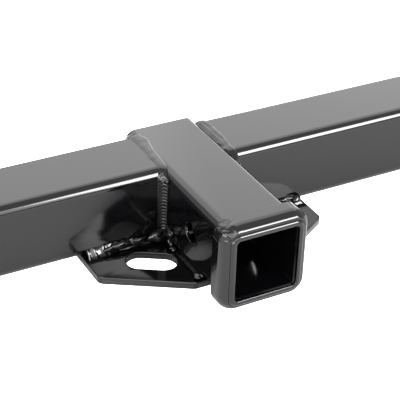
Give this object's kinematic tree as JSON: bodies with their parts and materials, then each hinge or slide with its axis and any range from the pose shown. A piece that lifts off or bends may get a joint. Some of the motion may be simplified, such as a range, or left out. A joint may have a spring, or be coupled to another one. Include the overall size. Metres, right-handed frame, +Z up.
{
  "type": "trailer hitch receiver",
  "caption": "Welded square-tube trailer hitch: a receiver socket with a reinforced mouth, a cross tube, a slotted plate for safety chains and side plates that bolt to a vehicle's frame.",
  "frame": {"origin": "centre of the cross hole for the hitch pin, on the receiver tube's axis", "axes": "+X to the vehicle's right, along the cross tube and the pin hole; +Y to the vehicle's front, so the receiver's mouth faces -Y; +Z up"},
  "size_m": [1.012, 0.3985, 0.0874],
  "materials": {
    "gloss_black_steel": "gloss black powder coat over welded steel"
  },
  "bodies": {
    "root": {"receiver_tube": "gloss_black_steel", "receiver_collar": "gloss_black_steel", "chain_plate": "gloss_black_steel", "plate_rear_weld": "gloss_black_steel", "left_cross_tube": "gloss_black_steel", "right_cross_tube": "gloss_black_steel", "left_frame_bracket": "gloss_black_steel", "right_frame_bracket": "gloss_black_steel", "left_front_weld": "gloss_black_steel", "right_front_weld": "gloss_black_steel", "left_rear_weld": "gloss_black_steel", "right_rear_weld": "gloss_black_steel", "left_top_weld": "gloss_black_steel", "right_top_weld": "gloss_black_steel", "left_plate_front_weld": "gloss_black_steel", "right_plate_front_weld": "gloss_black_steel", "left_plate_side_weld": "gloss_black_steel", "right_plate_side_weld": "gloss_black_steel", "left_collar_weld": "gloss_black_steel", "right_collar_weld": "gloss_black_steel", "left_bracket_weld": "gloss_black_steel", "right_bracket_weld": "gloss_black_steel"}
  },
  "joints": []
}
